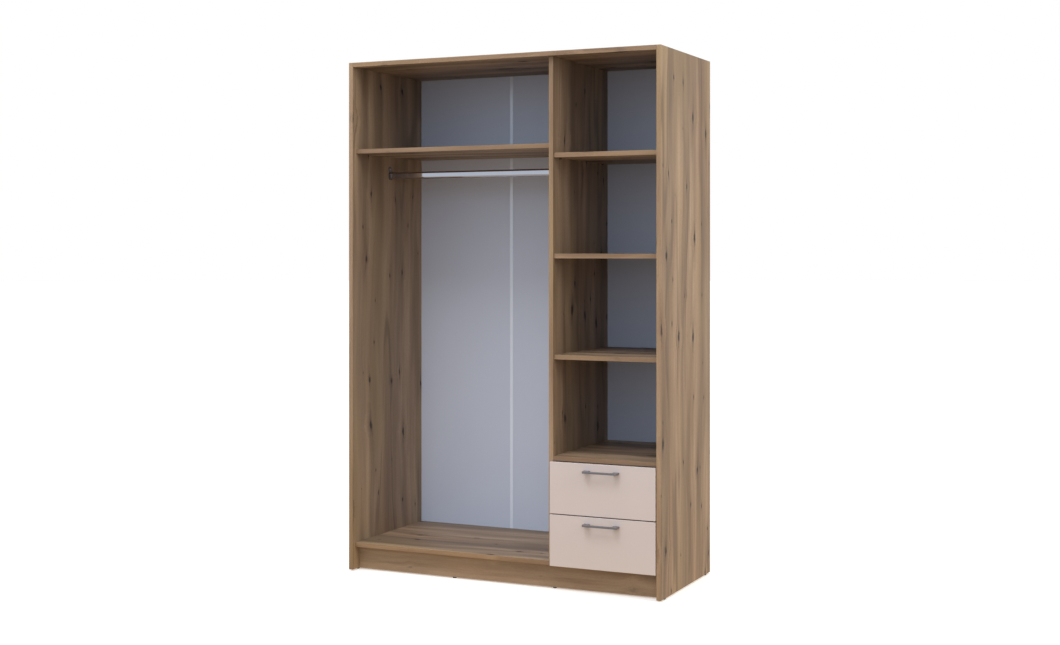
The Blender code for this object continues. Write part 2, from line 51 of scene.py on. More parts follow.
class Wiring:
    """Adds nodes to one tree. add returns the node, split and cells return its outputs, and the methods
    after them return the socket that holds their result."""

    def __init__(self, tree):
        self.tree = tree

    def add(self, kind, inputs=None, **settings):
        """Adds a node. inputs gives each input's value or the socket that feeds it."""
        node = self.tree.nodes.new(kind)
        for name, value in settings.items():
            setattr(node, name, value)
        for name, value in (inputs or {}).items():
            self.feed(node.inputs[name], value)
        return node

    def feed(self, socket, value):
        """Joins a socket to the input, or sets a plain value on it."""
        if isinstance(value, bpy.types.NodeSocket):
            self.tree.links.new(value, socket)
        else:
            socket.default_value = value

    def split(self, vector):
        return self.add("ShaderNodeSeparateXYZ", {0: vector}).outputs

    def cells(self, vector, scale=1.0, dimensions="3D"):
        """Scattered points: the distance to the nearest, its place, and a colour that is its own."""
        return self.add("ShaderNodeTexVoronoi", {"Vector": vector, "Scale": scale},
                        voronoi_dimensions=dimensions).outputs

    def math(self, operation, first, second=0.0, third=0.0):
        return self.add("ShaderNodeMath", {0: first, 1: second, 2: third}, operation=operation).outputs[0]

    def plus(self, first, second):
        return self.math("ADD", first, second)

    def minus(self, first, second):
        return self.math("SUBTRACT", first, second)

    def times(self, first, second):
        return self.math("MULTIPLY", first, second)

    def larger(self, first, second):
        return self.math("MAXIMUM", first, second)

    def scale(self, value, factor, shift=0.0):
        return self.math("MULTIPLY_ADD", value, factor, shift)

    def vector(self, x, y, z=0.0):
        return self.add("ShaderNodeCombineXYZ", {0: x, 1: y, 2: z}).outputs[0]

    def along(self, vector, direction):
        """How far a vector reaches in a direction."""
        both = {0: vector, 1: direction}
        return self.add("ShaderNodeVectorMath", both, operation="DOT_PRODUCT").outputs["Value"]

    def noise(self, vector, scale=1.0, detail=2.0, roughness=0.5):
        node = self.add("ShaderNodeTexNoise", {"Vector": vector, "Scale": scale, "Detail": detail,
                                               "Roughness": roughness})
        return node.outputs["Fac"]

    def smooth(self, value, low, high):
        """Goes from 0 to 1, smoothly, as the value goes from low to high."""
        return self.add("ShaderNodeMapRange", {0: value, 1: low, 2: high, 3: 0.0, 4: 1.0},
                        interpolation_type="SMOOTHSTEP").outputs[0]

    def ramp(self, value, stops):
        """The colours of the (place, colour) stops, as the value goes from 0 to 1."""
        node = self.add("ShaderNodeValToRGB", {0: value})
        steps = node.color_ramp.elements
        while len(steps) < len(stops):
            steps.new(0.5)
        for step, (place, colour) in zip(steps, stops):
            step.position = place
            step.color = (*colour, 1.0)
        return node.outputs["Color"]

    def blend(self, share, first, second, mode="MIX"):
        """The first colour, giving way to the second as the share goes to 1."""
        node = self.add("ShaderNodeMix", data_type="RGBA", blend_type=mode)
        for place, value in ((0, share), (6, first), (7, second)):
            self.feed(node.inputs[place], (*value, 1.0) if isinstance(value, tuple) else value)
        return node.outputs[2]

    def bump(self, height, strength, distance, under=None):
        inputs = {"Height": height, "Strength": strength, "Distance": distance}
        if under is not None:
            inputs["Normal"] = under
        return self.add("ShaderNodeBump", inputs).outputs[0]

    def lit_or_seen(self, lit, seen):
        """One shader for the light that a surface throws, another for what the camera sees of it."""
        direct = self.add("ShaderNodeLightPath").outputs["Is Camera Ray"]
        return self.add("ShaderNodeMixShader", {0: direct, 1: lit, 2: seen}).outputs[0]


# ---------------------------------------------------------------- camera and light

def add_to_scene(name, data):
    """Makes an object from its data and returns it."""
    thing = bpy.data.objects.new(name, data)
    bpy.context.scene.collection.objects.link(thing)
    return thing


def make_camera(place, turn, focal_length, shift):
    """A level camera that looks along +Y, turned about Z by some radians. focal_length is in millimetres."""
    lens = bpy.data.cameras.new("camera")
    lens.sensor_width = 36
    lens.lens = focal_length
    lens.shift_y = shift
    lens.clip_end = 200
    camera = add_to_scene("camera", lens)
    camera.location = place
    camera.rotation_euler = (math.radians(90), 0, turn)
    bpy.context.scene.camera = camera


def make_softbox(name, place, target, size, watts, colour):
    """A square area light that faces the target."""
    light = bpy.data.lights.new(name, "AREA")
    light.shape = "SQUARE"
    light.size = size
    light.energy = watts
    light.color = colour
    box = add_to_scene(name, light)
    box.location = place
    box.rotation_euler = (Vector(target) - Vector(place)).to_track_quat("-Z", "Y").to_euler()


def make_surround(strength):
    """A pale surround, cooler at the horizon and warmer above; the backdrop itself is plain white."""
    world = bpy.data.worlds.new("studio")
    world.use_nodes = True
    bpy.context.scene.world = world
    wires = Wiring(world.node_tree)
    way = wires.split(wires.add("ShaderNodeTexCoord").outputs["Generated"])
    front = wires.ramp(way[Z], [(0.0, (0.47, 0.57, 0.69)), (0.40, (0.51, 0.58, 0.67)),
                                (0.58, (0.73, 0.70, 0.67)), (0.84, (0.71, 0.68, 0.65)),
                                (0.93, (0.60, 0.59, 0.59))])
    sides = wires.ramp(way[Z], [(0.0, (0.44, 0.46, 0.47)), (0.45, (0.50, 0.50, 0.49)),
                                (0.60, (0.65, 0.62, 0.59)), (0.93, (0.60, 0.59, 0.59))])
    frontness = wires.smooth(wires.scale(way[Y], -1.0), 0.52, 1.00)
    lit = world.node_tree.nodes["Background"]
    wires.feed(lit.inputs["Color"], wires.blend(frontness, sides, front))
    lit.inputs["Strength"].default_value = strength
    seen = wires.add("ShaderNodeBackground", {"Color": (*WHITE, 1.0), "Strength": 1.0})
    both = wires.lit_or_seen(lit.outputs[0], seen.outputs[0])
    wires.feed(world.node_tree.nodes["World Output"].inputs["Surface"], both)


# ---------------------------------------------------------------- materials: what they share

def start_material(name):
    """A material with its wiring, its main shader and the place of each point on the piece."""
    material = bpy.data.materials.new(name)
    material.use_nodes = True
    wires = Wiring(material.node_tree)
    shader = material.node_tree.nodes["Principled BSDF"]
    return material, wires, shader, wires.add("ShaderNodeTexCoord").outputs["Object"]


def finish_material(wires, shader, colour, roughness, normal):
    """Feeds the three sockets that vary over the surface."""
    for socket, value in (("Base Color", colour), ("Roughness", roughness), ("Normal", normal)):
        wires.feed(shader.inputs[socket], value)


def facing(wires, direction):
    """1 where the surface faces that way, 0 elsewhere."""
    normal = wires.add("ShaderNodeTexCoord").outputs["Normal"]
    return wires.smooth(wires.along(normal, direction), 0.80, 0.90)


def edge_wear(wires, radius):
    """1 on rubbed edges, 0 on flat faces."""
    rounded = wires.add("ShaderNodeBevel", {"Radius": radius}, samples=4).outputs[0]
    flat = wires.add("ShaderNodeNewGeometry").outputs["True Normal"]
    return wires.smooth(wires.along(rounded, flat), 0.995, 0.80)


def add_chipboard(wires, place):
    """The raw core of a board: pressed chips, in warm browns. Returns (colour, height)."""
    chips = wires.cells(place, 420)
    flecks = wires.cells(place, 980)
    mottle = wires.noise(place, 60, 3)
    chip_tone = wires.split(chips["Color"])[0]
    fleck_tone = wires.split(flecks["Color"])[1]
    colour = wires.ramp(chip_tone, [(0.0, (0.30, 0.20, 0.115)), (0.5, (0.45, 0.325, 0.20)),
                                    (1.0, (0.56, 0.43, 0.28))])
    colour = wires.blend(wires.scale(fleck_tone, 0.45), colour, (0.24, 0.155, 0.09))
    colour = wires.blend(wires.scale(mottle, 0.3), colour, (0.50, 0.37, 0.23))
    return colour, wires.plus(chips["Distance"], flecks["Distance"])


# ---------------------------------------------------------------- oak

Knots = namedtuple("Knots", "core heart tail halo near off_centre")


def add_knots(wires, across, along, swell, per_metre, seed, keep, width, length):
    """Scattered dark knots. width and length are a usual knot's half sizes, swell makes them all larger,
    per_metre is how many places there are across and along the grain, and keep is the share of them that
    holds a knot. Each answer is 1 in its own part of a knot, and off_centre is the distance across to it."""
    wide, long = per_metre
    u = wires.scale(across, wide, seed)
    v = wires.scale(along, long, seed * 1.7)
    found = wires.cells(wires.vector(u, v), dimensions="2D")
    spot = wires.split(found["Position"])
    chance = wires.split(found["Color"])
    off_centre = wires.scale(wires.minus(u, spot[X]), 1 / wide)
    off_along = wires.scale(wires.minus(v, spot[Y]), 1 / long)
    kept = wires.smooth(chance[0], 1 - keep, 1.02 - keep)
    size = wires.times(wires.scale(chance[1], 0.9, 0.55), swell)
    bend = wires.noise(wires.vector(wires.scale(across, 55), wires.scale(along, 16), seed), detail=3)
    ragged = wires.noise(wires.vector(wires.scale(across, 240), wires.scale(along, 85), seed), detail=3)
    lean = wires.times(off_along, wires.scale(chance[2], 0.16, -0.08))
    bent = wires.plus(off_centre, wires.scale(bend, width * 3.2, -width * 1.6))
    bent = wires.plus(bent, lean)

    def oval(wider, longer, outside, inside):
        """An oval some times as wide and long as the knot, with a ragged and soft rim."""
        a = wires.math("DIVIDE", wires.scale(bent, 1 / (width * wider)), size)
        b = wires.math("DIVIDE", wires.scale(off_along, 1 / (length * longer)), size)
        radius = wires.math("SQRT", wires.plus(wires.times(a, a), wires.times(b, b)))
        radius = wires.plus(radius, wires.scale(ragged, 0.9, -0.45))
        return wires.times(wires.smooth(radius, outside, inside), kept)

    return Knots(core=oval(1, 1, 1.15, 0.55), heart=oval(1, 1, 0.75, 0.20), tail=oval(0.75, 2.6, 1.3, 0.1),
                 halo=oval(2, 8, 1.2, 0.0), near=oval(6, 2.6, 1.2, 0.0), off_centre=off_centre)


def make_oak_pattern():
    """The knotty oak decor, as a group that takes the distance across and along the grain in metres,
    how strong the knots and the broad bands are, and how large the knots are."""
    tree = bpy.data.node_groups.new("oak_decor", "ShaderNodeTree")
    for name in ("Across", "Along", "Knots", "Bands", "Knot Size"):
        tree.interface.new_socket(name=name, in_out="INPUT", socket_type="NodeSocketFloat")
    for name, kind in (("Color", "NodeSocketColor"), ("Roughness", "NodeSocketFloat"),
                       ("Height", "NodeSocketFloat")):
        tree.interface.new_socket(name=name, in_out="OUTPUT", socket_type=kind)
    wires = Wiring(tree)
    given = tree.nodes.new("NodeGroupInput").outputs
    along = given["Along"]
    sway = wires.noise(wires.vector(wires.scale(given["Across"], 1.7), wires.scale(along, 0.85)), detail=1)
    ripple = wires.noise(wires.vector(wires.scale(given["Across"], 8.0, 5.0), wires.scale(along, 3.0)))
    across = wires.plus(given["Across"], wires.scale(sway, 0.120, -0.060))
    across = wires.plus(across, wires.scale(ripple, 0.026, -0.013))

    big = add_knots(wires, across, along, given["Knot Size"], per_metre=(6.2, 2.5), seed=3.7, keep=0.78,
                    width=0.0080, length=0.0165)
    small = add_knots(wires, across, along, given["Knot Size"], per_metre=(8.8, 4.2), seed=9.2, keep=0.42,
                      width=0.0042, length=0.0085)
    # The grain flows round the big knots.
    grain_at = wires.minus(across, wires.times(big.off_centre, wires.scale(big.near, 0.7)))

    def streaks(per_metre_across, per_metre_along, shift, detail, roughness):
        """Noise that is drawn out along the grain; the shift makes one pattern differ from another."""
        at = wires.vector(wires.scale(grain_at, per_metre_across, shift),
                          wires.scale(along, per_metre_along, shift))
        return wires.noise(at, detail=detail, roughness=roughness)

    fine = streaks(190.0, 8.0, 8.6, 3, 0.6)
    hair = streaks(640.0, 14.0, 2.3, 2, 0.5)
    tone = wires.plus(wires.scale(streaks(9.0, 0.50, 0.0, 4, 0.62), 0.62),
                      wires.scale(streaks(27.0, 1.5, 4.1, 4, 0.62), 0.26))
    tone = wires.plus(tone, wires.scale(fine, 0.12))
    colour = wires.ramp(tone, [(0.39, (0.190, 0.126, 0.080)), (0.46, (0.268, 0.186, 0.123)),
                               (0.53, (0.338, 0.240, 0.163)), (0.61, (0.415, 0.303, 0.214))])
    dark_line = wires.smooth(streaks(10.0, 0.7, 12.9, 3, 0.50), 0.53, 0.68)
    thin_line = wires.smooth(streaks(62.0, 1.6, 21.4, 3, 0.55), 0.60, 0.74)
    reddish = wires.smooth(streaks(7.0, 0.8, 31.0, 3, 0.55), 0.50, 0.66)
    golden = wires.smooth(streaks(6.0, 0.6, 45.0, 3, 0.55), 0.50, 0.64)
    for tint, share, tint_colour in ((dark_line, 0.62, (0.186, 0.124, 0.080)),
                                     (thin_line, 0.18, (0.150, 0.100, 0.066)),
                                     (reddish, 0.36, (0.325, 0.196, 0.116)),
                                     (golden, 0.42, (0.375, 0.272, 0.148))):
        colour = wires.blend(wires.scale(tint, share), colour, tint_colour)

    band = wires.smooth(streaks(8.5, 0.55, 60.0, 2, 0.5), 0.38, 0.60)
    shade = wires.math("MULTIPLY_ADD", wires.scale(band, 0.54, -0.27), given["Bands"], 1.0)
    colour = wires.blend(1.0, colour, wires.vector(shade, shade, shade), "MULTIPLY")

    # Long contour lines, where a slow noise passes its middle value, like growth rings cut at a slant.
    contour = wires.math("ABSOLUTE", wires.minus(streaks(5.2, 0.40, 77.0, 2, 0.5), 0.5))
    stretch = wires.smooth(streaks(3.0, 1.3, 90.0, 2, 0.5), 0.40, 0.58)
    ring = wires.scale(wires.times(wires.smooth(contour, 0.026, 0.003), stretch), 0.60)
    colour = wires.blend(wires.times(ring, given["Knots"]), colour, (0.128, 0.086, 0.058))

    pores = wires.cells(wires.vector(wires.scale(grain_at, 620), wires.scale(along, 42)), dimensions="2D")
    pore = wires.smooth(pores["Distance"], 0.34, 0.08)
    colour = wires.blend(wires.scale(pore, 0.30), colour, (0.150, 0.095, 0.060))
    colour = wires.blend(wires.scale(hair, 0.22, -0.02), colour, (0.240, 0.155, 0.098))

    halos = wires.plus(wires.scale(big.halo, 0.50), wires.scale(small.halo, 0.22))
    tails = wires.larger(wires.scale(big.tail, 0.68), wires.scale(small.tail, 0.45))
    cores = wires.times(wires.larger(big.core, wires.scale(small.core, 0.80)), given["Knots"])
    hearts = wires.times(wires.larger(big.heart, small.heart), given["Knots"])
    for share, knot_colour in ((wires.times(halos, given["Knots"]), (0.168, 0.108, 0.070)),
                               (wires.times(tails, given["Knots"]), (0.092, 0.066, 0.050)),
                               (wires.scale(cores, 0.88), (0.066, 0.049, 0.039)),
                               (wires.scale(hearts, 0.75), (0.030, 0.027, 0.026))):
        colour = wires.blend(share, colour, knot_colour)

    roughness = wires.plus(wires.scale(fine, 0.16, 0.44), wires.scale(cores, 0.12))
    height = wires.minus(wires.scale(fine, 0.55), wires.scale(pore, 0.5))
    height = wires.minus(height, wires.scale(cores, 1.2))
    out = tree.nodes.new("NodeGroupOutput")
    for name, value in (("Color", colour), ("Roughness", roughness), ("Height", height)):
        wires.feed(out.inputs[name], value)
    return tree


def make_oak(name, pattern, across, along, raw, band=None, knots=1.0, bands=0.25, knot_size=1.0):
    """Oak decor with the grain along one axis. across names the two axes that cross it, raw the ways that
    the edges without a band face, and band the tint of the front edge's own band, which is cut from
    knot-free decor."""
    material, wires, shader, place = start_material(name)
    axes = wires.split(place)
    decor = wires.add("ShaderNodeGroup")
    decor.node_tree = pattern
    wires.feed(decor.inputs["Across"], wires.plus(axes[across[0]], axes[across[1]]))
    wires.feed(decor.inputs["Along"], axes[along])
    front = facing(wires, FRONTWARD) if band else 0.0
    wires.feed(decor.inputs["Knots"], wires.scale(front, -0.88 * knots, knots))
    wires.feed(decor.inputs["Bands"], wires.scale(front, -0.8 * bands, bands))
    wires.feed(decor.inputs["Knot Size"], knot_size)
    colour = decor.outputs["Color"]
    if band:
        colour = wires.blend(front, colour, wires.blend(1.0, colour, band, "MULTIPLY"))
    chip_colour, chip_height = add_chipboard(wires, place)
    bare = 0.0
    for direction in raw:
        bare = wires.larger(bare, facing(wires, direction))
    colour = wires.blend(bare, colour, chip_colour)
    colour = wires.blend(wires.scale(edge_wear(wires, 0.0012), 0.22), colour, (0.46, 0.34, 0.23))
    roughness = wires.larger(decor.outputs["Roughness"], wires.scale(bare, 0.85))
    bump = wires.bump(decor.outputs["Height"], 0.22, 0.0004)
    bump = wires.bump(wires.times(chip_height, bare), 0.5, 0.0006, bump)
    finish_material(wires, shader, colour, roughness, bump)
    shader.inputs["Specular IOR Level"].default_value = 0.36
    return material


# ---------------------------------------------------------------- other finishes

def make_cashmere():
    """Cashmere-coloured facing with a soft sheen, a faint orange peel and paler edges."""
    material, wires, shader, place = start_material("cashmere_front")
    cloud = wires.noise(place, 9, 3)
    grain = wires.noise(place, 1400, 2)
    peel = wires.noise(place, 260, 2)
    colour = wires.blend(cloud, (0.600, 0.530, 0.524), (0.630, 0.558, 0.552))
    colour = wires.blend(wires.scale(grain, 0.10), colour, (0.52, 0.43, 0.40))
    colour = wires.blend(wires.scale(edge_wear(wires, 0.0012), 0.25), colour, (0.72, 0.65, 0.60))
    roughness = wires.plus(wires.scale(cloud, 0.08, 0.40), wires.scale(grain, 0.05))
    bump = wires.bump(wires.plus(wires.scale(grain, 0.5), peel), 0.10, 0.00025)
    finish_material(wires, shader, colour, roughness, bump)
    shader.inputs["Specular IOR Level"].default_value = 0.42
    return material


def make_drawer_board():
    """White board with a pearl grain for the drawer boxes, raw chipboard on its lower edges."""
    material, wires, shader, place = start_material("drawer_board")
    pearl = wires.noise(place, 700, 2)
    cloud = wires.noise(place, 7, 3)
    colour = wires.blend(cloud, (0.73, 0.725, 0.70), (0.78, 0.775, 0.755))
    colour = wires.blend(wires.scale(pearl, 0.12), colour, (0.62, 0.615, 0.60))
    chip_colour, chip_height = add_chipboard(wires, place)
    bare = facing(wires, DOWN)
    colour = wires.blend(bare, colour, chip_colour)
    colour = wires.blend(wires.scale(edge_wear(wires, 0.001), 0.25), colour, (0.60, 0.57, 0.52))
    roughness = wires.larger(wires.scale(pearl, 0.18, 0.42), wires.scale(bare, 0.85))
    bump = wires.bump(pearl, 0.16, 0.0002)
    bump = wires.bump(wires.times(chip_height, bare), 0.5, 0.0006, bump)
    finish_material(wires, shader, colour, roughness, bump)
    return material


def make_hardboard(name, white_side):
    """Thin hardboard: white lacquer on the face that looks to the white side, and everywhere else brown
    fibre with a screen's print."""
    material, wires, shader, place = start_material(name)
    axes = wires.split(place)
    streak = wires.noise(wires.vector(wires.scale(axes[X], 130), wires.scale(axes[Z], 2.5),
                                      wires.scale(axes[Y], 130)), detail=3)
    cloud = wires.noise(place, 4, 3)
    tooth = wires.noise(place, 900, 2)
    white = wires.blend(cloud, (0.545, 0.592, 0.726), (0.575, 0.622, 0.756))
    white = wires.blend(wires.scale(streak, 0.16), white, (0.500, 0.550, 0.665))
    fibre = wires.noise(wires.vector(wires.scale(axes[X], 90), wires.scale(axes[Z], 300),
                                     wires.scale(axes[Y], 300)), detail=4, roughness=0.7)
    brown = wires.ramp(fibre, [(0.30, (0.150, 0.088, 0.045)), (0.55, (0.250, 0.155, 0.084)),
                               (0.75, (0.340, 0.225, 0.130))])
    brown = wires.blend(wires.scale(wires.noise(place, 14, 3), 0.35), brown, (0.20, 0.118, 0.06))
    screen_turn = 3900    # radians per metre: the screen's wires are about 1.6 mm apart
    screen_x = wires.math("SINE", wires.scale(axes[X], screen_turn))
    screen_z = wires.math("SINE", wires.scale(wires.plus(axes[Z], axes[Y]), screen_turn))
    bare = wires.minus(1.0, facing(wires, white_side))
    colour = wires.blend(bare, white, brown)
    roughness = wires.plus(wires.scale(tooth, 0.10, 0.32), wires.scale(bare, 0.40))
    bump = wires.bump(wires.plus(wires.scale(tooth, 0.6), wires.scale(streak, 0.7)), 0.10, 0.0003)
    bump = wires.bump(wires.times(wires.times(screen_x, screen_z), bare), 0.35, 0.0003, bump)
    finish_material(wires, shader, colour, roughness, bump)
    return material


def make_plastic(name, low, high, roughness, lines_axis=None, specular=0.5):
    """Moulded or extruded plastic, between a low and a high colour; lines_axis is the axis that its draw
    marks cross."""
    material, wires, shader, place = start_material(name)
    cloud = wires.noise(place, 40, 3)
    grain = wires.noise(place, 2200, 2)
    height = grain
    if lines_axis is not None:
        height = wires.noise(wires.vector(wires.scale(wires.split(place)[lines_axis], 2600), 0.0))
    colour = wires.blend(cloud, low, high)
    colour = wires.blend(wires.scale(edge_wear(wires, 0.0008), 0.3), colour, high)
    roughness = wires.plus(wires.scale(grain, 0.14, roughness - 0.07), wires.scale(cloud, 0.06))
    finish_material(wires, shader, colour, roughness, wires.bump(height, 0.12, 0.0002))
    shader.inputs["Specular IOR Level"].default_value = specular
    return material


def make_metal(name, low, high, roughness, brush_axis, spangle=0.0, wear=None):
    """Plated or painted metal, between a low and a high colour, brushed along one axis. spangle is the
    strength of a zinc coat's crystals, and wear is the colour of the rubbed edges."""
    material, wires, shader, place = start_material(name)
    axes = wires.split(place)
    stretched = [wires.scale(axes[axis], 30 if axis == brush_axis else 2400) for axis in (X, Y, Z)]
    brush = wires.noise(wires.vector(*stretched))
    smudge = wires.noise(place, 22, 4, 0.6)
    colour = wires.blend(smudge, low, high)
    colour = wires.blend(wires.scale(brush, 0.16), colour, low)
    if spangle:
        crystals = wires.split(wires.cells(place, 420)["Color"])[0]
        colour = wires.blend(wires.scale(crystals, spangle), colour, tuple(0.6 * part for part in low))
    colour = wires.blend(wires.scale(edge_wear(wires, 0.0009), 0.35), colour, wear or high)
    roughness = wires.plus(wires.scale(smudge, 0.14, roughness - 0.07), wires.scale(brush, 0.08, -0.04))
    finish_material(wires, shader, colour, roughness, wires.bump(brush, 0.06, 0.0001))
    shader.inputs["Metallic"].default_value = 1.0
    return material


def make_floor(radius):
    """A pale round floor. The camera sees white paper with soft shadows, lifted by a faint white glow. To
    all other rays it glows with a warm, even light of its own, a painted bounce light in place of light
    thrown back, and in mirrors it glows pale grey."""
    material, wires, shader, place = start_material("studio_floor")
    cloud = wires.noise(place, 0.8, 2)
    wires.feed(shader.inputs["Base Color"], wires.blend(cloud, (0.92, 0.92, 0.92), (0.94, 0.94, 0.94)))
    for socket, value in (("Roughness", 0.9), ("Specular IOR Level", 0.1), ("Emission Strength", 0.28),
                          ("Emission Color", (*WHITE, 1.0))):
        shader.inputs[socket].default_value = value
    # painted bounce light: the floor glows warm near the wardrobe and more neutral further out, whatever
    # light falls on it
    reach = wires.add("ShaderNodeVectorMath", {0: place}, operation="LENGTH").outputs["Value"]
    warmth = wires.blend(wires.smooth(reach, 0.6, 3.0), (0.68, 0.46, 0.20), (0.60, 0.52, 0.45))
    in_mirror = wires.add("ShaderNodeLightPath").outputs["Is Glossy Ray"]
    bounce_glow = wires.blend(in_mirror, warmth, (0.60, 0.575, 0.56))
    glow = wires.add("ShaderNodeEmission", {"Color": bounce_glow, "Strength": 1.0})
    both = wires.lit_or_seen(glow.outputs[0], shader.outputs[0])
    wires.feed(material.node_tree.nodes["Material Output"].inputs["Surface"], both)
    shape = bmesh.new()
    bmesh.ops.create_circle(shape, cap_ends=True, radius=radius, segments=64)
    mesh = bpy.data.meshes.new("floor")
    shape.to_mesh(mesh)
    shape.free()
    mesh.materials.append(material)
    floor = add_to_scene("floor", mesh)


# ---------------------------------------------------------------- fittings: their shapes

PAN_HEAD = {"Radius": 0.0038, "Height": 0.0020, "Recess Length": 0.0044, "Recess Width": 0.0009}
FLAT_HEAD = {"Radius": 0.0036, "Height": 0.0012, "Recess Length": 0.0040, "Recess Width": 0.0009}
BOX_HEAD = {"Radius": 0.0035, "Height": 0.0006, "Recess Length": 0.0040, "Recess Width": 0.0010}
CAM_LOCK = {"Radius": 0.0074, "Height": 0.0008, "Recess Length": 0.0086, "Recess Width": 0.0016}
NAIL_HEAD = {"Radius": 0.0027, "Height": 0.0006}
SHELF_PIN = {"Radius": 0.0025, "Length": 0.0090, "Collar Radius": 0.0040, "Collar Height": 0.0012}
RUNNER_BALL = {"Radius": 0.00155}


def start_growth(name, sizes):
    """A geometry tree that takes a mesh of places and named sizes. Returns (wires, inputs)."""
    tree = bpy.data.node_groups.new(name, "GeometryNodeTree")
    tree.interface.new_socket(name="Places", in_out="INPUT", socket_type="NodeSocketGeometry")
    for label in sizes:
        tree.interface.new_socket(name=label, in_out="INPUT", socket_type="NodeSocketFloat")
    tree.interface.new_socket(name="Finish", in_out="INPUT", socket_type="NodeSocketMaterial")
    tree.interface.new_socket(name="Pieces", in_out="OUTPUT", socket_type="NodeSocketGeometry")
    return Wiring(tree), tree.nodes.new("NodeGroupInput").outputs


def end_growth(wires, given, shape, smooth=False):
    """Puts the shape on every place, with its Z axis along the place's facing, and gives it the finish.
    Returns the tree."""
    facing_out = wires.add("GeometryNodeInputNamedAttribute", {"Name": "facing"}, data_type="FLOAT_VECTOR")
    turn = wires.add("FunctionNodeAlignRotationToVector", {"Vector": facing_out.outputs["Attribute"]},
                     axis="Z")
    copies = wires.add("GeometryNodeInstanceOnPoints", {"Points": given["Places"], "Instance": shape,
                                                        "Rotation": turn.outputs[0]})
    plain = wires.add("GeometryNodeRealizeInstances", {"Geometry": copies.outputs[0]})
    shaded = wires.add("GeometryNodeSetShadeSmooth", {"Geometry": plain.outputs[0], "Shade Smooth": smooth})
    finished = wires.add("GeometryNodeSetMaterial", {"Geometry": shaded.outputs[0],
                                                     "Material": given["Finish"]})
    out = wires.add("NodeGroupOutput")
    wires.feed(out.inputs["Pieces"], finished.outputs[0])
    return wires.tree


def add_turned_step(wires, low_radius, high_radius, start, length, sides):
    """A truncated cone along Z that begins at a height."""
    cone = wires.add("GeometryNodeMeshCone", {"Vertices": sides, "Radius Bottom": low_radius,
                                              "Radius Top": high_radius, "Depth": length})
    return wires.add("GeometryNodeTransform", {"Geometry": cone.outputs["Mesh"],
                                               "Translation": wires.vector(0.0, 0.0, start)}).outputs[0]


def unite(wires, solids):
    """One closed solid from several that overlap or touch."""
    union = wires.add("GeometryNodeMeshBoolean", operation="UNION", solver="EXACT")
    for solid in solids:
        wires.feed(union.inputs["Mesh 2"], solid)
    return union.outputs["Mesh"]


def grow_screw_head():
    """A domed head with a cross recess."""
    wires, given = start_growth("screw_head", PAN_HEAD)
    radius, height = given["Radius"], given["Height"]
    rim = wires.scale(height, 0.55)
    dome = wires.scale(height, 0.45)
    sides = 20
    head = unite(wires, (add_turned_step(wires, radius, radius, 0.0, rim, sides),
                         add_turned_step(wires, radius, wires.scale(radius, 0.62), rim, dome, sides)))
    cutters = wires.add("GeometryNodeJoinGeometry")
    depth = wires.scale(height, 1.2)
    for size_x, size_y in ((given["Recess Length"], given["Recess Width"]),
                           (given["Recess Width"], given["Recess Length"])):
        bar = wires.add("GeometryNodeMeshCube", {"Size": wires.vector(size_x, size_y, depth)})
        lifted = wires.add("GeometryNodeTransform", {"Geometry": bar.outputs["Mesh"],
                                                     "Translation": wires.vector(0.0, 0.0, height)})
        wires.feed(cutters.inputs[0], lifted.outputs[0])
    cut = wires.add("GeometryNodeMeshBoolean", {"Mesh 1": head, "Mesh 2": cutters.outputs[0]},
                    operation="DIFFERENCE", solver="EXACT")
    cut.inputs["Self Intersection"].default_value = True
    return end_growth(wires, given, cut.outputs["Mesh"])


def grow_nail_head():
    """A thin flat head with a bevelled rim."""
    wires, given = start_growth("nail_head", NAIL_HEAD)
    radius = given["Radius"]
    head = add_turned_step(wires, radius, wires.scale(radius, 0.72), 0.0, given["Height"], sides=12)
    return end_growth(wires, given, head)


def grow_shelf_pin():
    """A round pin with a collar that stops it at the board, and a blunt point."""
    wires, given = start_growth("shelf_pin", SHELF_PIN)
    radius, wide, thick = given["Radius"], given["Collar Radius"], given["Collar Height"]
    point = wires.scale(radius, 0.35)
    shaft = wires.minus(given["Length"], point)
    sides = 24
    pin = unite(wires, (add_turned_step(wires, wide, wide, 0.0, thick, sides),
                        add_turned_step(wires, radius, radius, 0.0, shaft, sides),
                        add_turned_step(wires, radius, wires.scale(radius, 0.7), shaft, point, sides)))
    return end_growth(wires, given, pin)


def grow_runner_ball():
    """A smooth steel ball."""
    wires, given = start_growth("steel_ball", RUNNER_BALL)
    ball = wires.add("GeometryNodeMeshIcoSphere", {"Radius": given["Radius"], "Subdivisions": 2})
    return end_growth(wires, given, ball.outputs["Mesh"], smooth=True)


# ---------------------------------------------------------------- fittings: their places

SIDES = ("left", "right")
INWARD = {"left": RIGHTWARD, "right": LEFTWARD}
OUTWARD = {"left": LEFTWARD, "right": RIGHTWARD}
RUNNER_SHEET = 0.0012


def place_fittings(name, tree, sizes, finish, body, places):
    """Grows one plain mesh from (point, facing) places and puts it on a body."""
    mesh = bpy.data.meshes.new(name + "_places")
    mesh.from_pydata([point for point, facing_out in places], [], [])
    attribute = mesh.attributes.new("facing", "FLOAT_VECTOR", "POINT")
    attribute.data.foreach_set("vector", [value for point, facing_out in places for value in facing_out])
    seedling = add_to_scene(name + "_places", mesh)
    growth = seedling.modifiers.new("growth", "NODES")
    growth.node_group = tree
    values = {**sizes, "Finish": finish}
    for item in tree.interface.items_tree:
        if item.item_type == "SOCKET" and item.in_out == "INPUT" and item.name in values:
            growth[item.identifier] = values[item.name]
    bpy.context.view_layer.update()
    grown = seedling.evaluated_get(bpy.context.evaluated_depsgraph_get())
    plain = bpy.data.meshes.new_from_object(grown)
    bpy.data.objects.remove(seedling)
    plain.name = name
    piece = add_to_scene(name, plain)
    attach(piece, body)


def middle(node):
    """The middle of a node's box."""
    low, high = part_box(node)
    return (low + high) / 2


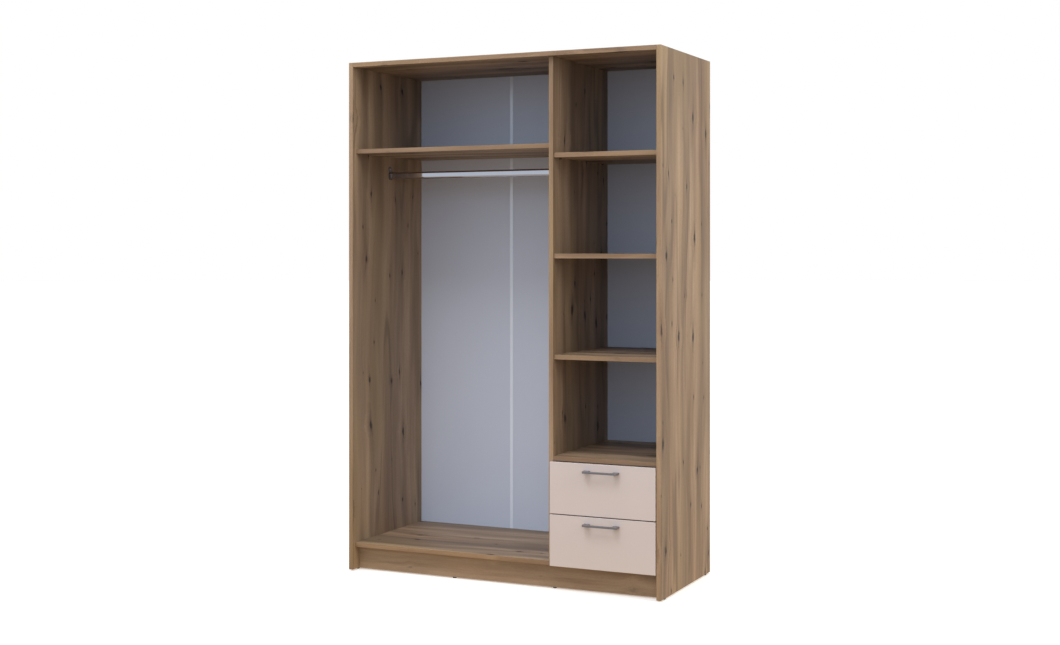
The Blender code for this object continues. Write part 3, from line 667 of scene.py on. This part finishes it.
def inset(low, high, first, last=None):
    """Two places between low and high: one that far from low, and one that far from high."""
    return low + first, high - (first if last is None else last)


def spread(low, high, pitch):
    """Evenly spaced places from low to high, about a pitch apart."""
    count = max(1, round((high - low) / pitch))
    return [low + (high - low) * step / count for step in range(count + 1)]


def plate_face(node, direction, thickness):
    """Where along X the face of an upright plate lies that looks in the direction, rightward or leftward."""
    low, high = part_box(node)
    return low.x + thickness if direction == RIGHTWARD else high.x - thickness


def fit_shelf_pins(tree, finish):
    """Four pins under each loose shelf, two in the partition and two in the right side."""
    from_front, from_rear, gap = 0.055, 0.060, 0.0002
    left_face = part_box("partition")[1].x
    right_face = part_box("side_right")[0].x
    places = []
    for shelf in ("shelf_lower", "shelf_middle", "shelf_upper"):
        low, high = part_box(shelf)
        z = low.z - SHELF_PIN["Radius"] - gap
        for y in inset(low.y, high.y, from_front, from_rear):
            places += [((left_face, y, z), RIGHTWARD), ((right_face, y, z), LEFTWARD)]
    place_fittings("shelf_pins", tree, SHELF_PIN, finish, "carcass", places)


def fit_cam_locks(tree, finish):
    """Four cam locks near the ends of each fixed level board, in the face that is less in sight."""
    from_end, from_front, from_rear = 0.034, 0.100, 0.070
    places = []
    for board, face in (("top_panel", UP), ("hat_shelf", UP), ("bottom_panel", DOWN),
                        ("drawer_top_shelf", DOWN)):
        low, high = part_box(board)
        z = high.z if face == UP else low.z
        places += [((x, y, z), face) for x in inset(low.x, high.x, from_end)
                   for y in inset(low.y, high.y, from_front, from_rear)]
    place_fittings("cam_locks", tree, CAM_LOCK, finish, "carcass", places)


def fit_back_nails(tree, finish):
    """Nails through the back into the sides, the top, the bottom panel and the partition, where two
    sheets meet and each has a row of its own."""
    pitch, from_end, from_side, from_joint = 0.110, 0.030, 0.060, 0.0045
    low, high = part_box("back_panel_left")[0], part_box("back_panel_right")[1]
    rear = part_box("back_panel_left")[1].y
    joint = middle("partition").x
    columns = (middle("side_left").x, middle("side_right").x, joint - from_joint, joint + from_joint)
    rows = (middle("top_panel").z, middle("bottom_panel").z)
    places = [((x, rear, z), BACKWARD) for z in spread(*inset(low.z, high.z, from_end), pitch)
              for x in columns]
    places += [((x, rear, z), BACKWARD) for x in spread(*inset(low.x, high.x, from_side), pitch)
               for z in rows]
    place_fittings("back_nails", tree, NAIL_HEAD, finish, "carcass", places)


def fit_bracket_screws(tree, finish):
    """A screw through each rail bracket's plate, below its upper end."""
    plate, from_top = 0.0022, 0.0095
    places = []
    for side in SIDES:
        bracket = "rail_bracket_" + side
        x = plate_face(bracket, INWARD[side], plate)
        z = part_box(bracket)[1].z - from_top
        places.append(((x, middle(bracket).y, z), INWARD[side]))
    place_fittings("bracket_screws", tree, PAN_HEAD, finish, "carcass", places)


def fit_runner_screws(level, tree, finish):
    """Flat heads inside the cabinet members, and inside the drawer members on the drawer's own body."""
    first_hole, second_hole, from_rear = 0.037, 0.229, 0.047
    fixed, moving = [], []
    for side in SIDES:
        runner = f"runner_{level}_{side}"
        low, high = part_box(runner + "_cabinet")
        z = (low.z + high.z) / 2
        holes = (low.y + first_hole, low.y + second_hole, high.y - from_rear)
        for member, way, places in (("_cabinet", INWARD[side], fixed), ("_drawer", OUTWARD[side], moving)):
            x = plate_face(runner + member, way, RUNNER_SHEET)
            places += [((x, y, z), way) for y in holes]
    for member, body, places in (("cabinet", "carcass", fixed), ("drawer", f"drawer_{level}", moving)):
        name = f"runner_{level}_{member}_screws"
        place_fittings(name, tree, FLAT_HEAD, finish, body, places)


def fit_runner_balls(level, tree, finish):
    """A row of balls in the upper and the lower race of each pair of members. They stay in the rear half of
    the inner member, which never comes out of the outer one."""
    pitch, from_end, race = 0.0135, 0.012, 0.0032
    for member, outer, body in (("middle", "cabinet", f"runner_middle_{level}"),
                                ("drawer", "middle", f"drawer_{level}")):
        places = []
        for side in SIDES:
            inner_low, inner_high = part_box(f"runner_{level}_{side}_{member}")
            outer_low, outer_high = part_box(f"runner_{level}_{side}_{outer}")
            x = (max(inner_low.x, outer_low.x) + min(inner_high.x, outer_high.x)) / 2
            half_way = (inner_low.y + inner_high.y) / 2
            places += [((x, y, z), UP) for y in spread(*inset(half_way, inner_high.y, from_end), pitch)
                       for z in inset(outer_low.z, outer_high.z, RUNNER_SHEET + race / 2)]
        name = f"runner_{level}_{member}_balls"
        place_fittings(name, tree, RUNNER_BALL, finish, body, places)


def fit_front_screws(level, tree, finish):
    """Screws through the inner front into the front."""
    from_end, from_lower_edge, from_upper_edge = 0.045, 0.035, 0.030
    body = f"drawer_{level}"
    low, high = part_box(body + "_inner_front")
    places = [((x, high.y, z), BACKWARD) for x in inset(low.x, high.x, from_end)
              for z in inset(low.z, high.z, from_lower_edge, from_upper_edge)]
    place_fittings(body + "_front_screws", tree, PAN_HEAD, finish, body, places)


def fit_side_screws(level, tree, finish):
    """Screws through the sides of a drawer box into its inner front and its back."""
    from_rear, from_lower_edge, from_upper_edge = 0.008, 0.011, 0.014
    body = f"drawer_{level}"
    places = []
    for side in SIDES:
        low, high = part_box(f"{body}_side_{side}")
        x = low.x if side == "left" else high.x
        places += [((x, y, z), OUTWARD[side]) for y in (middle(body + "_inner_front").y, high.y - from_rear)
                   for z in inset(low.z, high.z, from_lower_edge, from_upper_edge)]
    place_fittings(body + "_side_screws", tree, BOX_HEAD, finish, body, places)


def fit_bottom_nails(level, tree, finish):
    """Nails round the edge of a drawer's bottom, from below."""
    pitch, from_edge, from_side, from_end = 0.09, 0.008, 0.030, 0.040
    body = f"drawer_{level}"
    low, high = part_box(body + "_bottom")
    places = [((x, y, low.z), DOWN) for x in spread(*inset(low.x, high.x, from_side), pitch)
              for y in inset(low.y, high.y, from_edge)]
    places += [((x, y, low.z), DOWN) for x in inset(low.x, high.x, from_edge)
               for y in spread(*inset(low.y, high.y, from_end), pitch)]
    place_fittings(body + "_bottom_nails", tree, NAIL_HEAD, finish, body, places)


# ---------------------------------------------------------------- the build

def paint(names, material):
    """Gives CAD nodes a material, on the objects and not on their meshes."""
    for name in names:
        for place in nodes[name].material_slots:
            place.link = "OBJECT"
            place.material = material


bpy.context.scene.view_settings.view_transform = "Standard"
make_camera(place=(2.6479, -5.6592, 1.3060), turn=0.436, focal_length=52.33, shift=-0.0681)
make_surround(strength=1.8)
body_middle = (0, 0, 1.0)
make_softbox("key_light", place=(0.0, -3.36, 5.97), target=body_middle, size=2.2, watts=120,
             colour=(0.94, 0.98, 1.0))
make_softbox("side_light", place=(5.6, -1.0, 3.0), target=body_middle, size=2.6, watts=85,
             colour=(1.0, 0.90, 0.68))
make_floor(radius=60)

oak = make_oak_pattern()
upright = make_oak("oak_upright", oak, (Y, X), Z, raw=(BACKWARD, DOWN), band=(1.06, 1.00, 0.91), bands=0.62,
                   knot_size=1.15)
level = make_oak("oak_level", oak, (Y, Z), X, raw=(BACKWARD,), band=(0.96, 0.88, 0.80), bands=1.40,
                 knot_size=1.8)
skirting = make_oak("oak_plinth", oak, (Z, Y), X, raw=(DOWN,), knots=0.18, bands=0.35)
brace = make_oak("oak_brace", oak, (Z, X), Y, raw=(DOWN,))
paint(["side_left", "side_right", "partition"], upright)
paint(["top_panel", "bottom_panel", "hat_shelf", "drawer_top_shelf",
       "shelf_lower", "shelf_middle", "shelf_upper"], level)
paint(["plinth_front", "plinth_rear"], skirting)
paint(["plinth_brace"], brace)

back = make_hardboard("back_hardboard", white_side=FRONTWARD)
strip = make_plastic("white_strip", (0.71, 0.77, 0.91), (0.77, 0.83, 0.96), 0.10, lines_axis=X, specular=1.0)
nylon = make_plastic("black_nylon", (0.016, 0.016, 0.017), (0.030, 0.030, 0.031), 0.50)
chrome = make_metal("bright_chrome", (0.450, 0.415, 0.410), (0.510, 0.472, 0.466), 0.05, brush_axis=X)
casting = make_metal("bright_zinc_casting", (0.26, 0.255, 0.26), (0.32, 0.315, 0.32), 0.20, brush_axis=Z)
steel = make_metal("zinc_plated_steel", (0.52, 0.53, 0.55), (0.66, 0.67, 0.69), 0.32, brush_axis=Y,
                   spangle=0.25)
paint(["back_panel_left", "back_panel_middle", "back_panel_right"], back)
paint(["back_joint_strip"], strip)
paint([name for name in nodes if name.startswith("glide_")], nylon)
paint(["hanging_rail"], chrome)
paint(["rail_bracket_left", "rail_bracket_right"], casting)
paint([name for name in nodes if name.startswith("runner_") or "handle_screw" in name], steel)

cashmere = make_cashmere()
box_board = make_drawer_board()
box_sheet = make_hardboard("drawer_hardboard", white_side=UP)
graphite = make_metal("graphite_metal", (0.222, 0.215, 0.230), (0.284, 0.276, 0.294), 0.30, brush_axis=X,
                      wear=(0.40, 0.40, 0.41))
for drawer in ("drawer_lower_", "drawer_upper_"):
    paint([drawer + "front"], cashmere)
    paint([drawer + part for part in ("inner_front", "side_left", "side_right", "back")], box_board)
    paint([drawer + "bottom"], box_sheet)
    paint([drawer + "handle"], graphite)

screw = grow_screw_head()
nail = grow_nail_head()
ball = grow_runner_ball()
brown_plastic = make_plastic("brown_pins", (0.110, 0.075, 0.050), (0.140, 0.098, 0.066), 0.45)
fit_shelf_pins(grow_shelf_pin(), brown_plastic)
fit_cam_locks(screw, casting)
fit_back_nails(nail, steel)
fit_bracket_screws(screw, steel)
for drawer_level in ("lower", "upper"):
    fit_runner_screws(drawer_level, screw, steel)
    fit_runner_balls(drawer_level, ball, steel)
    fit_front_screws(drawer_level, screw, steel)
    fit_side_screws(drawer_level, screw, steel)
    fit_bottom_nails(drawer_level, nail, steel)
